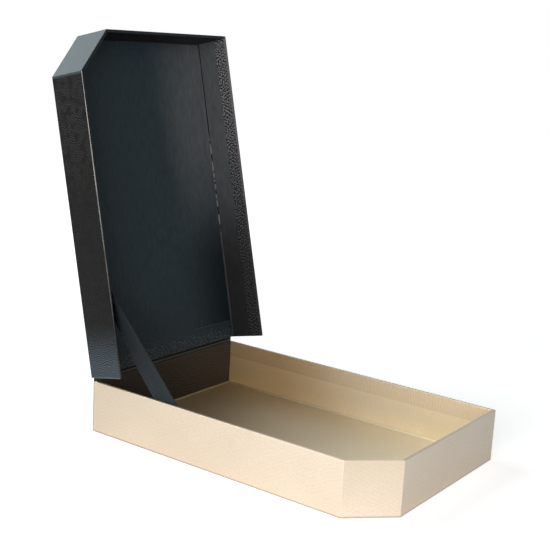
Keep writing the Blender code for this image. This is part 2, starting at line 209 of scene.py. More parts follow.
class Paint:
    """One material, with short ways to add its nodes. Below and above give 1 where they hold, and else 0."""

    def __init__(self, name, roughness=0.5, metallic=0.0, **sockets):
        self.material = bpy.data.materials.new(name)
        self.material.use_nodes = True
        self.tree = self.material.node_tree
        self.shader = self.tree.nodes["Principled BSDF"]
        self.shader.inputs["Roughness"].default_value = roughness
        self.shader.inputs["Metallic"].default_value = metallic
        for socket, value in sockets.items():
            self.shader.inputs[socket.replace("_", " ")].default_value = value

    def node(self, kind, sockets=(), **settings):
        made = self.tree.nodes.new("ShaderNode" + kind)
        for key, value in settings.items():
            setattr(made, key, value)
        for key, value in dict(sockets).items():
            self.feed(made.inputs[key], value)
        return made

    def feed(self, socket, value):
        if isinstance(value, bpy.types.NodeSocket):
            self.tree.links.new(value, socket)
        elif socket.type == "RGBA" and len(value) == 3:
            socket.default_value = (*value, 1)
        else:
            socket.default_value = value

    def vector(self, operation, a, b=(0, 0, 0), output=0):
        return self.node("VectorMath", {0: a, 1: b}, operation=operation).outputs[output]

    def math(self, operation, a, b=0.0):
        return self.node("Math", {0: a, 1: b}, operation=operation).outputs[0]

    def times(self, a, b):
        return self.math("MULTIPLY", a, b)

    def below(self, value, limit):
        return self.math("LESS_THAN", value, limit)

    def above(self, value, limit):
        return self.math("GREATER_THAN", value, limit)

    def joined(self, x, y, z=0.0):
        return self.node("CombineXYZ", {0: x, 1: y, 2: z}).outputs[0]

    def axes(self, vector):
        return self.node("SeparateXYZ", {0: vector}).outputs

    def between(self, share, a, b):
        return self.node("Mix", {0: share, 2: a, 3: b}, data_type="FLOAT").outputs[0]

    def mixed(self, share, a, b):
        return self.node("Mix", {0: share, 6: a, 7: b}, data_type="RGBA").outputs[2]

    def tinted(self, tone, factors):
        """The colour times a factor each for its red, green and blue."""
        return self.vector("MULTIPLY", tone, factors)

    def shaded(self, tone, factor):
        """The colour times one factor."""
        return self.tinted(tone, self.joined(factor, factor, factor))

    def turned(self, vector, on_lid):
        """Turns a direction into the shut lid's own frame, where Z is the depth and Y runs to the hinge."""
        if not on_lid:
            return vector
        turn = (math.radians(LID_OPENING_DEG), 0, 0)
        return self.node("Mapping", {"Vector": vector, "Rotation": turn}, vector_type="POINT").outputs[0]

    def place(self, on_lid=False):
        found = self.node("TexCoord").outputs["Object"]
        if not on_lid:
            return found
        return self.turned(self.vector("SUBTRACT", found, (0, HINGE_Y, HINGE_Z)), True)

    def face(self, on_lid=False):
        """The flat face's own direction, in the frame of the body that it is on."""
        true = self.node("NewGeometry").outputs["True Normal"]
        settings = {"vector_type": "NORMAL", "convert_from": "WORLD", "convert_to": "OBJECT"}
        return self.turned(self.node("VectorTransform", {0: true}, **settings).outputs[0], on_lid)

    def unrolled(self, on_lid=False):
        """Metres along a wall's run and across it, or along and across a level face, as the paper lies."""
        place = self.place(on_lid)
        face = self.face(on_lid)
        run = self.vector("DOT_PRODUCT", place, self.vector("CROSS_PRODUCT", face, (0, 0, 1)), "Value")
        x, y, z = self.axes(place)
        level = self.above(self.math("ABSOLUTE", self.axes(face)[2]), LEVEL_SHARE)
        return self.joined(self.between(level, run, y), self.between(level, z, x))

    def cut(self):
        """Metres across a strip and along it, as it was cut."""
        across, along, _ = self.axes(self.node("TexCoord").outputs["UV"])
        return across, along, self.joined(along, across)

    def scaled(self, vector, scale):
        return self.node("Mapping", {"Vector": vector, "Scale": scale}).outputs[0]

    def noise(self, vector, scale, detail=2.0, roughness=0.5):
        sockets = {"Vector": vector, "Scale": scale, "Detail": detail, "Roughness": roughness}
        return self.node("TexNoise", sockets).outputs[0]

    def warped(self, vector, scale, reach):
        """The vector pushed about by a soft noise, by about reach at most."""
        noise = self.node("TexNoise", {"Vector": vector, "Scale": scale, "Detail": 1.0}).outputs[1]
        centred = self.vector("SUBTRACT", noise, (0.5, 0.5, 0.5))
        push = self.vector("MULTIPLY", centred, (PUSH_GAIN * reach, PUSH_GAIN * reach, 0))
        return self.vector("ADD", vector, push)

    def ranged(self, value, low, high, to_low=0.0, to_high=1.0, smooth=True):
        sockets = {"Value": value, "From Min": low, "From Max": high, "To Min": to_low, "To Max": to_high}
        kind = "SMOOTHSTEP" if smooth else "LINEAR"
        return self.node("MapRange", sockets, interpolation_type=kind).outputs[0]

    def spread(self, noise, to_low, to_high, smooth=True):
        """A noise spread out so that most of its values run from one number to the other."""
        return self.ranged(noise, *NOISE_SPAN, to_low, to_high, smooth)

    def wave(self, phase):
        """A soft ripple from 0 to 1, one for each whole step of the phase."""
        turned = self.math("SINE", self.times(phase, 2 * math.pi))
        return self.ranged(turned, -1, 1, 0, 1, False)

    def colour(self, value):
        self.feed(self.shader.inputs["Base Color"], value)

    def rough(self, value):
        self.feed(self.shader.inputs["Roughness"], value)

    def bump(self, height, relief, strength=1.0, under=None):
        sockets = {"Height": height, "Distance": relief, "Strength": strength}
        if under is not None:
            sockets["Normal"] = under
        made = self.node("Bump", sockets).outputs[0]
        self.feed(self.shader.inputs["Normal"], made)
        return made


# The embossed grain: sizes in metres of paper, and noises in turns per metre
GRAIN_ALONG = 0.0034
GRAIN_ACROSS = 0.0064
GRAIN_BEND_SCALE = 75.0
GRAIN_BEND = 0.0011
GRAIN_PATCH_SCALE = 70.0
GRAIN_PATCH_SPAN = (0.44, 0.56)
GRAIN_NET_SHARE = 0.70
GRAIN_SPAN = (0.45, 1.0)
GRAIN_RELIEF = 0.00020
WAVE_PITCH = 0.0018
WAVE_LEG = 0.0050
WAVE_RISE = 1.15
WAVE_BEND_SCALE = 170.0
WAVE_BEND = 0.0005
WAVE_DRIFT_SCALE = 40.0
WAVE_DRIFT = 3.0
WAVE_SPAN = (0.15, 1.0)
BEAD_SCALE = 640.0
BEAD_SPAN = (0.42, 0.60)


def grain(paint, paper):
    """Thin wavy ridges, from 0 to 1 on top. They lean one way, then the other, and cross into small cells."""
    bent = paint.warped(paper, GRAIN_BEND_SCALE, GRAIN_BEND)
    along, across, _ = paint.axes(bent)
    down = paint.math("DIVIDE", along, GRAIN_ALONG)
    over = paint.math("DIVIDE", across, GRAIN_ACROSS)
    rising = paint.wave(paint.math("ADD", down, over))
    falling = paint.wave(paint.math("SUBTRACT", down, over))
    patch = paint.ranged(paint.noise(paper, GRAIN_PATCH_SCALE, detail=1.0), *GRAIN_PATCH_SPAN)
    ridges = paint.between(patch, rising, falling)
    net = paint.math("MAXIMUM", rising, falling)
    both = paint.math("ADD", paint.times(ridges, 1 - GRAIN_NET_SHARE), paint.times(net, GRAIN_NET_SHARE))
    return paint.ranged(both, *GRAIN_SPAN)


def waves(paint, paper):
    """The same grain where it was drawn into unbroken zigzag ridges, from 0 to 1 on top."""
    bent = paint.warped(paint.warped(paper, GRAIN_BEND_SCALE, GRAIN_BEND), WAVE_BEND_SCALE, WAVE_BEND)
    along, across, _ = paint.axes(bent)
    drift = paint.times(paint.noise(paper, WAVE_DRIFT_SCALE), WAVE_DRIFT)
    swing = paint.math("ADD", paint.math("DIVIDE", across, WAVE_LEG), drift)
    zigzag = paint.math("PINGPONG", swing, 1.0)
    down = paint.math("DIVIDE", along, WAVE_PITCH)
    phase = paint.math("ADD", down, paint.times(zigzag, WAVE_RISE))
    return paint.ranged(paint.wave(phase), *WAVE_SPAN)


def beads(paint, paper, finer=1.0):
    """The same grain where it is broken up into small beads, from 0 to 1 on top."""
    return paint.ranged(paint.noise(paper, BEAD_SCALE * finer, detail=1.0), *BEAD_SPAN)


# The black papers' gloss, and the covering paper's tones: in creases, on ridges and where it has faded
BLACK_SPECULAR = 0.11
OUTER_BLACK = ((0.0010, 0.0009, 0.0009), (0.011, 0.011, 0.0108), (0.0025, 0.0023, 0.0023))
OUTER_ROUGH = (0.42, 0.32)
FADED_SCALE = 14.0
FADED_SPAN = (0.3, 0.8)
FADED_MOST_SHARE = 0.5


def pebbled(paint, paper, crease, top, faded, drawn=None):
    """The black paper's grain, and its colour: dark in creases, paler on the ridges, with cloudy fading."""
    ridges = grain(paint, paper)
    if drawn is not None:
        ridges = paint.between(drawn, ridges, waves(paint, paper))
    cloud = paint.noise(paper, FADED_SCALE, detail=3.0)
    tone = paint.mixed(ridges, crease, top)
    return ridges, paint.mixed(paint.ranged(cloud, *FADED_SPAN, 0, FADED_MOST_SHARE), tone, faded)


def slanted(paint, facing, front):
    """1 on the clipped corner's wall, and 0 elsewhere."""
    return paint.times(paint.below(facing, -SLANTED_SHARE), paint.below(front, -SLANTED_SHARE))


# The lid's left wall. Places along the lid are in metres from the hinge, below zero. Paired tones are for
# near the hinge and far from it, or for creases and ridges
LEFT_BRIGHTENS = (-0.14, -0.24)
PATCH_SCALE = 160.0
PATCH_SPAN = (0.36, 0.56)
LEFT_CREASE = (0.0005, 0.0005, 0.0005)
LEFT_DIM_RIDGE = (0.0040, 0.0034, 0.0032)
LEFT_RIDGES = ((0.0086, 0.0076, 0.0070), (0.0250, 0.0266, 0.0250))
# Where the floor's painted reflection lies near the hinge, and its tones
FLOOR_MIRROR_ALONG = (-0.052, -0.006)
FLOOR_MIRROR_TONES = ((0.018, 0.026, 0.032), (0.080, 0.100, 0.118))
# The painted highlight along the lower fold
FOOT_GLINT_ALONG = (-0.0014, -0.0006)
FOOT_GLINT_TONE = (0.135, 0.155, 0.170)
# The painted highlight past the clipped corner's fold
CLIP_FOLD_GLINT_ALONG = (-0.2645, -0.2665)
CLIP_FOLD_GLINT_SHARE = 0.8
CLIP_FOLD_GLINT_TONE = (0.060, 0.076, 0.078)


def left_wall(paint, paper, ridges, wall, along, tone):
    """The left wall's ridges are patchy, and palest far from the hinge."""
    patchy = paint.ranged(paint.noise(paper, PATCH_SCALE), *PATCH_SPAN)
    bright = paint.mixed(paint.ranged(along, *LEFT_BRIGHTENS), *LEFT_RIDGES)
    crest = paint.mixed(patchy, LEFT_DIM_RIDGE, bright)
    tone = paint.mixed(wall, tone, paint.mixed(ridges, LEFT_CREASE, crest))
    # Painted reflection of the pale floor: near the hinge it is greyer and paler
    floor_mirror = paint.times(wall, paint.ranged(along, *FLOOR_MIRROR_ALONG))
    tone = paint.mixed(floor_mirror, tone, paint.mixed(ridges, *FLOOR_MIRROR_TONES))
    # Painted highlight: its lower end is pale along the fold
    foot_glint = paint.times(wall, paint.ranged(along, *FOOT_GLINT_ALONG))
    tone = paint.mixed(foot_glint, tone, FOOT_GLINT_TONE)
    # Painted highlight: a little way past the clipped corner's fold it turns a flat pale tone
    past = paint.times(wall, paint.ranged(along, *CLIP_FOLD_GLINT_ALONG))
    return paint.mixed(paint.times(past, CLIP_FOLD_GLINT_SHARE), tone, CLIP_FOLD_GLINT_TONE)


# The turned-in band of the lid's right wall, with painted highlights on its ridges and a plainer border
BAND_GLINT_ALONG = (-0.06, -0.26)
BAND_CREASE = (0.004, 0.004, 0.005)
BAND_GLINT_RIDGES = ((0.050, 0.051, 0.056), (0.205, 0.205, 0.220))
BAND_BEAD_SHARE = 0.6
BAND_FINER = 1.35
BAND_SPAN = (0.25, 0.80)
BORDER_LEVEL = (-0.0345, -0.0366)
BORDER_SHARE = 0.35
BORDER_RIDGE_SHARE = 0.55


def right_band(paint, paper, ridges, far, border):
    """The turned-in band of the right wall, its ridges painted pale as highlights, palest far from the hinge.
    """
    glint_tone = paint.mixed(far, *BAND_GLINT_RIDGES)
    broken = paint.between(BAND_BEAD_SHARE, ridges, beads(paint, paper, BAND_FINER))
    pale = paint.mixed(paint.ranged(broken, *BAND_SPAN), BAND_CREASE, glint_tone)
    plain = paint.mixed(BORDER_RIDGE_SHARE, BAND_CREASE, glint_tone)
    return paint.mixed(paint.times(border, BORDER_SHARE), pale, plain)


# The lid's rims, with painted highlights
RIM_GLINT_WIDTH = 0.0004
RIM_GLINT_ALONG = (-0.02, -0.22)
RIM_GLINT_SHARES = (0.13, 1.0)
RIM_GLINT_SCALE = 60.0
RIM_GLINT_SPAN = (0.3, 0.6)
RIM_GLINT_FACTORS = (0.55, 1.0)
RIM_GLINT_TONE = (0.54, 0.545, 0.53)
RIGHT_RIM_GLINT_SHARE = 0.6
RIGHT_RIM_GLINT_TONE = (0.23, 0.218, 0.228)
FRONT_RIM_TONES = ((0.002, 0.006, 0.008), (0.010, 0.021, 0.027))


def lid_rims(paint, paper, ridges, downward, x, along, pale, far, tone):
    """A painted highlight along the outer edge of the left wall's rim, brightest at the clipped corner."""
    edge = paint.times(downward, paint.below(x, RIM_GLINT_WIDTH - LID_HALF_WIDTH))
    rim = paint.times(edge, paint.above(along, LID_CLIP_LEG - LID_FRONT))
    rim_glint = paint.times(rim, paint.ranged(along, *RIM_GLINT_ALONG, *RIM_GLINT_SHARES))
    noise = paint.noise(paper, RIM_GLINT_SCALE)
    patchy = paint.ranged(noise, *RIM_GLINT_SPAN, *RIM_GLINT_FACTORS)
    tone = paint.mixed(paint.times(rim_glint, patchy), tone, RIM_GLINT_TONE)
    # The right rim goes on in the band's paper with its painted highlights, and a painted highlight makes it
    # paler far from the hinge
    edge = paint.times(downward, paint.above(x, TRAY_WIDTH / 2))
    tone = paint.mixed(edge, tone, pale)
    tone = paint.mixed(paint.times(edge, paint.times(far, RIGHT_RIM_GLINT_SHARE)), tone, RIGHT_RIM_GLINT_TONE)
    # The rims of the front wall and the clipped corner have their own cooler tones
    ahead = paint.times(downward, paint.below(along, LID_CLIP_LEG - LID_FRONT))
    ahead = paint.times(ahead, paint.below(x, TRAY_WIDTH / 2))
    return paint.mixed(ahead, tone, paint.mixed(ridges, *FRONT_RIM_TONES))


# The lid's clipped wall with its painted light, and how rough and how deeply grained its walls are
SLANT_LIT_TONES = ((0.044, 0.066, 0.078), (0.052, 0.076, 0.088))
FRONT_WALL_ROUGH = 0.68
WALL_GRAIN_SHARES = (0.7, 0.4)
BAND_GRAIN_SHARE = 0.6
SLANT_GRAIN_SHARE = 0.12


def lid_grain(name):
    paint = Paint(name, Specular_IOR_Level=BLACK_SPECULAR)
    paper = paint.unrolled(True)
    facing, front, drop = paint.axes(paint.face(True))
    x, along, level = paint.axes(paint.place(True))
    to_left = paint.below(facing, -FACE_SHARE)
    on_left = paint.below(x, 0.0)
    wall = paint.times(to_left, on_left)
    ridges, tone = pebbled(paint, paper, *OUTER_BLACK, wall)
    tone = left_wall(paint, paper, ridges, wall, along, tone)
    # The paper is drawn smooth over the clipped corner, and painted pale there as the light it catches
    slant = slanted(paint, facing, front)
    tone = paint.mixed(slant, tone, paint.mixed(ridges, *SLANT_LIT_TONES))
    band = paint.times(to_left, paint.math("SUBTRACT", 1.0, on_left))
    far = paint.ranged(along, *BAND_GLINT_ALONG)
    border = paint.ranged(level, *BORDER_LEVEL)
    pale = right_band(paint, paper, ridges, far, border)
    tone = paint.mixed(band, tone, pale)
    downward = paint.below(drop, -FACE_SHARE)
    paint.colour(lid_rims(paint, paper, ridges, downward, x, along, pale, far, tone))
    # The outside of the front wall is duller than the others
    dull = paint.below(front, -SQUARE_SHARE)
    paint.rough(paint.between(dull, paint.ranged(ridges, 0, 1, *OUTER_ROUGH, False), FRONT_WALL_ROUGH))
    relief = paint.between(band, BAND_GRAIN_SHARE, paint.ranged(border, 0, 1, *WALL_GRAIN_SHARES, False))
    paint.bump(ridges, GRAIN_RELIEF, paint.between(slant, relief, SLANT_GRAIN_SHARE))
    return paint.material


# Where the hinge lining changes, as metres up its own length from the tray's floor
LINING_FOLD_FOOT = (0.0456, 0.0462)
LINING_FOLD_HEAD = (0.0480, 0.0486)
LINING_CREASE = (0.0500, 0.0506)
LINING_PLAIN = (0.0615, 0.0685)
LINING_WANDER_SCALE = 130.0
LINING_WANDER = 0.003

# Its tones: cool on the lid, warm and rippled on the tray with painted light across it, painted shade dark in
# the fold and a painted highlight at its foot
LINING_BEAD_SHARE = 0.75
COOL_TONES = ((0.002, 0.0045, 0.0070), (0.078, 0.105, 0.128))
COOL_PLAIN = (0.023, 0.037, 0.047)
RIPPLE_BEND_SCALE = 60.0
RIPPLE_BEND = 0.0015
RIPPLE_PITCH = 0.0025
RIPPLE_SHARE = 0.3
WARM_LIT_ACROSS = (0.04, 0.17)
WARM_TROUGH = ((0.024, 0.0205, 0.0190), (0.038, 0.032, 0.0275))
WARM_CREST = ((0.043, 0.036, 0.033), (0.079, 0.067, 0.056))
FOLD_SHADE_TONE = (0.0015, 0.0018, 0.0020)
FOLD_GLINT_TONE = (0.080, 0.086, 0.076)
LINING_ROUGH = (0.55, 0.40)
LINING_GRAIN_SHARE = 0.8
SPINE_GRAIN_SHARE = 0.6


def hinge_grain(name):
    """The lining's grain, laid out from the tray's floor up: warm on the back wall, cool above the crease."""
    paint = Paint(name, Specular_IOR_Level=BLACK_SPECULAR)
    across, along, paper = paint.cut()
    beaded = paint.times(beads(paint, paper), LINING_BEAD_SHARE)
    ridges = paint.math("ADD", beaded, paint.times(grain(paint, paper), 1 - LINING_BEAD_SHARE))
    cool = paint.mixed(ridges, *COOL_TONES)
    # The grain dies away unevenly towards the liner above it
    wander = paint.spread(paint.noise(paper, LINING_WANDER_SCALE), -LINING_WANDER, LINING_WANDER)
    plain = paint.ranged(paint.math("ADD", along, wander), *LINING_PLAIN)
    cool = paint.mixed(plain, cool, COOL_PLAIN)
    bent = paint.warped(paper, RIPPLE_BEND_SCALE, RIPPLE_BEND)
    ripple = paint.wave(paint.math("DIVIDE", paint.axes(bent)[0], RIPPLE_PITCH))
    lit = paint.ranged(across, *WARM_LIT_ACROSS)
    warm = paint.mixed(ripple, paint.mixed(lit, *WARM_TROUGH), paint.mixed(lit, *WARM_CREST))
    on_lid = paint.ranged(along, *LINING_CREASE)
    # Painted shade darkens the fold, and a painted highlight lies along its foot
    shut = paint.ranged(along, *LINING_FOLD_HEAD)
    tone = paint.mixed(on_lid, paint.mixed(shut, warm, FOLD_SHADE_TONE), cool)
    fold = paint.times(paint.ranged(along, *LINING_FOLD_FOOT), paint.math("SUBTRACT", 1.0, shut))
    paint.colour(paint.mixed(fold, tone, FOLD_GLINT_TONE))
    paint.rough(paint.between(on_lid, LINING_ROUGH[0], paint.ranged(ridges, 0, 1, *LINING_ROUGH, False)))
    height = paint.between(on_lid, paint.times(ripple, RIPPLE_SHARE), ridges)
    paint.bump(height, GRAIN_RELIEF, LINING_GRAIN_SHARE)
    return paint.material


def spine_grain(name):
    """The lid's covering paper again, laid out down the outside of the back wall."""
    paint = Paint(name, Specular_IOR_Level=BLACK_SPECULAR)
    ridges, tone = pebbled(paint, paint.cut()[2], *OUTER_BLACK)
    paint.colour(tone)
    paint.rough(paint.ranged(ridges, 0, 1, *OUTER_ROUGH, False))
    paint.bump(ridges, GRAIN_RELIEF, SPINE_GRAIN_SHARE)
    return paint.material


# The smooth liners' tones: in the dark, in the pale clouds, and under painted light
WALL_LINER_TONES = ((0.024, 0.024, 0.026), (0.030, 0.030, 0.033), (0.068, 0.074, 0.079))
PANEL_LINER_TONES = ((0.018, 0.030, 0.039), (0.027, 0.043, 0.054), (0.125, 0.137, 0.146))
# On the right, painted light makes them paler far from the hinge, and painted shade darker near it
LIT_ALONG = (-0.06, -0.22)
LIT_ACROSS = (0.020, 0.090)
LIT_WANDER = 0.008
NEAR_SHADE_ALONG = (-0.15, -0.07)
NEAR_SHADE_SHARE = 0.62
NEAR_SHADE_TONE = (0.006, 0.0065, 0.0075)
FRONT_LINER_FACTORS = (0.42, 0.36, 0.38)
LINER_CLOUD_SCALE = 9.0
LINER_FINE_SCALE = 1500.0
# Each bump's relief in metres, and how much of it is used
LINER_SWELL = (0.0012, 0.25)
LINER_TOOTH = (0.00005, 0.6)
LINER_ROUGH = (0.44, 0.54)
STREAK_STRETCH = (0.2, 1, 1)
STREAK_SCALE = 160.0
STREAK_SHARE = 0.14
WEAVE_STRETCH = (0.35, 1, 1)
WEAVE_SCALE = 300.0
WEAVE_FACTORS = (0.86, 1.14)

# The liner's cut edge: dark, with painted highlights in flecks, and an even painted highlight near the hinge
FLECK_LEVELS = (-LID_PANEL - COVE / 3, -LID_PANEL - COVE / 2)
FLECK_REACH = 0.0010
FLECK_SCALE = 110.0
FLECK_SPAN = (0.46, 0.52)
FLECKS_FROM = (-0.215, -0.195)
FLECKS_TO = (-0.125, -0.100)
EVEN_GLINT_SHARE = 0.30
EDGE_TONES = ((0.003, 0.003, 0.004), (0.19, 0.185, 0.175))


def black_smooth(name, dark, pale, lit):
    paint = Paint(name, Specular_IOR_Level=BLACK_SPECULAR)
    paper = paint.unrolled(True)
    fine = paint.noise(paper, LINER_FINE_SCALE)
    cloud = paint.noise(paper, LINER_CLOUD_SCALE, detail=3.0)
    streak = paint.noise(paint.scaled(paper, STREAK_STRETCH), STREAK_SCALE)
    tone = paint.mixed(cloud, dark, pale)
    x, along, level = paint.axes(paint.place(True))
    wander = paint.spread(cloud, -LIT_WANDER, LIT_WANDER)
    far = paint.ranged(paint.math("ADD", along, wander), *LIT_ALONG)
    side = paint.ranged(paint.math("ADD", x, wander), *LIT_ACROSS)
    # Painted light on the right far from the hinge, and painted shade near it
    tone = paint.mixed(paint.times(far, side), tone, lit)
    near = paint.times(side, paint.ranged(along, *NEAR_SHADE_ALONG))
    tone = paint.mixed(paint.times(near, NEAR_SHADE_SHARE), tone, NEAR_SHADE_TONE)
    tone = paint.mixed(paint.spread(streak, 0, STREAK_SHARE), tone, dark)
    # The front wall's liner is darker than the others
    ahead = paint.above(paint.axes(paint.face(True))[1], FACE_SHARE)
    tone = paint.mixed(ahead, tone, paint.tinted(tone, FRONT_LINER_FACTORS))
    # Painted highlights in flecks along its cut edge by the right wall
    raised = paint.ranged(level, *FLECK_LEVELS, smooth=False)
    raised = paint.times(raised, paint.above(level, -LID_PANEL - FLECK_REACH))
    edge = paint.times(raised, paint.above(x, LID_HALF_WIDTH / 2))
    run = paint.noise(paint.joined(0.0, along), FLECK_SCALE, roughness=0.6)
    fleck = paint.times(paint.ranged(run, *FLECK_SPAN), paint.ranged(along, *FLECKS_FROM))
    fleck = paint.between(paint.ranged(along, *FLECKS_TO), fleck, EVEN_GLINT_SHARE)
    tone = paint.mixed(edge, tone, paint.mixed(fleck, *EDGE_TONES))
    weave = paint.noise(paint.scaled(paper, WEAVE_STRETCH), WEAVE_SCALE, detail=3.0)
    paint.colour(paint.shaded(tone, paint.spread(weave, *WEAVE_FACTORS, False)))
    paint.rough(paint.spread(cloud, *LINER_ROUGH))
    swell = paint.bump(cloud, *LINER_SWELL)
    paint.bump(fine, *LINER_TOOTH, swell)
    return paint.material


# The gold papers' tones, in front and by the hinge, where they are painted darker as shade and dark
# reflection from the lid
WRAP_GOLD = ((0.805, 0.675, 0.54), (0.655, 0.545, 0.425))
TURNED_GOLD = ((0.86, 0.72, 0.53), (0.56, 0.39, 0.205))
WALL_GOLD = ((0.90, 0.78, 0.585), (0.65, 0.465, 0.25))
FLOOR_GOLD = ((0.89, 0.81, 0.63), (0.33, 0.24, 0.135))
FLOOR_EDGE_GLINT_GOLD = ((1.0, 0.94, 0.74), (0.29, 0.235, 0.145))
FLOOR_EDGE_LEVELS = (FLOOR_COVE / 20, FLOOR_COVE / 8)
# How rough and how metallic they are
GOLD_FINISH = (0.42, 0.6)
FLOOR_FINISH = (0.60, 0.7)
# Where the painted shade on the gold starts towards the hinge, and where it is darkest
HINGE_SHADE_SPAN = (-0.13, 0.13)
INNER_HINGE_SHADE_SPAN = (-0.03, 0.09)
GOLD_CLOUD_SCALE = 16.0
GOLD_CLOUD = (0.96, 1.0)
GOLD_FLECK_SCALE = 420.0
GOLD_FLECK = 0.03
SPECK_SCALE = 900.0
SPECK_ROUGH = 0.05
SPECK_BUMP = (0.00006, 0.4)
# How much paler the wall liner's foot is painted, as light from the floor
WALL_FOOT_LIGHT_FACTOR = 1.11
# How much the grain's pitch shrinks along the turned-in part, and stretches down it
TURNED_ALONG = 1.3
TURNED_DOWN = 0.5
# The wrap's shade in its creases and how deep its grain is, outside and on the turned-in part
CREASE_SHADES = (0.965, 0.91)
WRAP_GRAIN_SHARES = (0.45, 0.8)
WRAP_RELIEF = 0.00010
# Factors of painted shade and light on two of the wrap's walls, from foot to top and from side to side
FRONT_WALL_SHADE_RISE = ((0.80, 0.80, 0.78), (0.76, 0.80, 0.845))
FRONT_WALL_SHADE_SIDES = (1.18, 0.93)
CLIP_WALL_LIGHT_RISE = ((1.10, 1.11, 1.13), (0.97, 0.955, 0.92))
# How much darker the front and right rims are
DARKER_RIM = (0.50, 0.43, 0.34)
# The levels between which the tray's lowest fold is painted darker, as shade where it meets the table
FOOT_SHADE_LEVELS = (0.0024, 0.0012)
FOOT_SHADE_FACTORS = (0.60, 0.58, 0.68)


def gold_tone(paint, paper, front, back, inner=False):
    """Pearly gold with soft clouds and fine flecks, painted darker towards the hinge as shade and dark
    reflection from the lid.
    """
    cloud = paint.noise(paper, GOLD_CLOUD_SCALE, detail=3.0)
    fleck = paint.noise(paper, GOLD_FLECK_SCALE, detail=3.0, roughness=0.7)
    towards_hinge = paint.axes(paint.place())[1]
    start, stop = INNER_HINGE_SHADE_SPAN if inner else HINGE_SHADE_SPAN
    tone = paint.mixed(paint.ranged(towards_hinge, start, stop, smooth=inner), front, back)
    clouded = paint.spread(cloud, *GOLD_CLOUD)
    return paint.shaded(tone, paint.math("ADD", clouded, paint.spread(fleck, -GOLD_FLECK, GOLD_FLECK)))


def gold_specks(paint, paper, rough):
    """The gold papers' fine specks, in their gloss and their relief."""
    speck = paint.noise(paper, SPECK_SCALE)
    paint.rough(paint.spread(speck, rough - SPECK_ROUGH, rough + SPECK_ROUGH))
    return paint.bump(speck, *SPECK_BUMP)


def gold_liner(name, rough, metal):
    """A gold liner's material without its colour, its paper, and the height above the tray's floor."""
    paint = Paint(name, rough, metal)
    paper = paint.unrolled()
    gold_specks(paint, paper, rough)
    return paint, paper, paint.math("SUBTRACT", paint.axes(paint.place())[2], FLOOR_TOP)


def gold_walls(name):
    """The wall liner's gold, painted paler at its foot as light from the floor."""
    paint, paper, height = gold_liner(name, *GOLD_FINISH)
    paler = paint.ranged(height, 0.0, TRAY_HEIGHT / 2, WALL_FOOT_LIGHT_FACTOR, 1.0)
    paint.colour(paint.shaded(gold_tone(paint, paper, *WALL_GOLD, True), paler))
    return paint.material


def gold_floor(name):
    """The floor liner's gold. Its edge, which curves up against the walls, is painted paler as a highlight.
    """
    paint, paper, height = gold_liner(name, *FLOOR_FINISH)
    raised = paint.ranged(height, *FLOOR_EDGE_LEVELS, smooth=False)
    edge = gold_tone(paint, paper, *FLOOR_EDGE_GLINT_GOLD)
    paint.colour(paint.mixed(raised, gold_tone(paint, paper, *FLOOR_GOLD), edge))
    return paint.material


def gold_embossed(name):
    """The tray's wrap: its grain runs round the outside and down the turned-in part."""
    paint = Paint(name, *GOLD_FINISH)
    paper = paint.unrolled()
    place = paint.place()
    face = paint.face()
    inward = paint.below(paint.vector("DOT_PRODUCT", place, face, "Value"), 0.0)
    run, height, _ = paint.axes(paper)
    turned_run = paint.times(run, TURNED_ALONG)
    turned_height = paint.times(height, TURNED_DOWN)
    laid = paint.joined(paint.between(inward, height, turned_run), paint.between(inward, run, turned_height))
    ridges = grain(paint, laid)
    outside = gold_tone(paint, paper, *WRAP_GOLD)
    facing, front, upright = paint.axes(face)
    x, _, z = paint.axes(place)
    rise = paint.ranged(z, 0.0, TRAY_HEIGHT, smooth=False)
    # Painted shade and reflection: the front wall is darker and cooler, most along its top, and darkest to
    # the right
    side = paint.ranged(x, -TRAY_WIDTH / 3, TRAY_WIDTH / 2, *FRONT_WALL_SHADE_SIDES, False)
    front_shaded = paint.shaded(paint.tinted(outside, paint.mixed(rise, *FRONT_WALL_SHADE_RISE)), side)
    outside = paint.mixed(paint.below(front, -SQUARE_SHARE), outside, front_shaded)
    # The clipped wall is painted paler at its foot, as light from the floor
    paler = paint.tinted(outside, paint.mixed(rise, *CLIP_WALL_LIGHT_RISE))
    outside = paint.mixed(slanted(paint, facing, front), outside, paler)
    tone = paint.mixed(inward, outside, gold_tone(paint, paper, *TURNED_GOLD, True))
    tone = paint.shaded(tone, paint.ranged(ridges, 0, 1, paint.between(inward, *CREASE_SHADES), 1.0, False))
    # The front and right rims are darker than the others
    rim = paint.times(paint.above(upright, FACE_SHARE), paint.above(z, TRAY_HEIGHT / 2))
    darker_rims = paint.times(rim, paint.above(x, CLIP_LEG - TRAY_WIDTH / 2))
    tone = paint.mixed(darker_rims, tone, DARKER_RIM)
    # Painted shade: the lowest fold is darker where it meets the table
    paint.colour(paint.mixed(paint.ranged(z, *FOOT_SHADE_LEVELS), tone, paint.tinted(tone, FOOT_SHADE_FACTORS)))
    fine = gold_specks(paint, paper, GOLD_FINISH[0])
    paint.bump(ridges, WRAP_RELIEF, paint.between(inward, *WRAP_GRAIN_SHARES), fine)
    return paint.material


# The hidden pieces: tones of dark and pale fibres, their scale, and how they lie
BOARD_TONES = ((0.26, 0.25, 0.24), (0.42, 0.41, 0.39))
BOARD_FIBRES = 700.0
BOARD_BUMP = (0.0001, 0.6)
KRAFT_TONES = ((0.45, 0.34, 0.22), (0.58, 0.46, 0.32))
KRAFT_FIBRES = 800.0
KRAFT_STRETCH = (1, 1, 0.1)


def greyboard(name):
    paint = Paint(name, 0.9)
    fibre = paint.noise(paint.place(), BOARD_FIBRES, detail=4.0)
    paint.colour(paint.mixed(fibre, *BOARD_TONES))
    paint.bump(fibre, *BOARD_BUMP)
    return paint.material


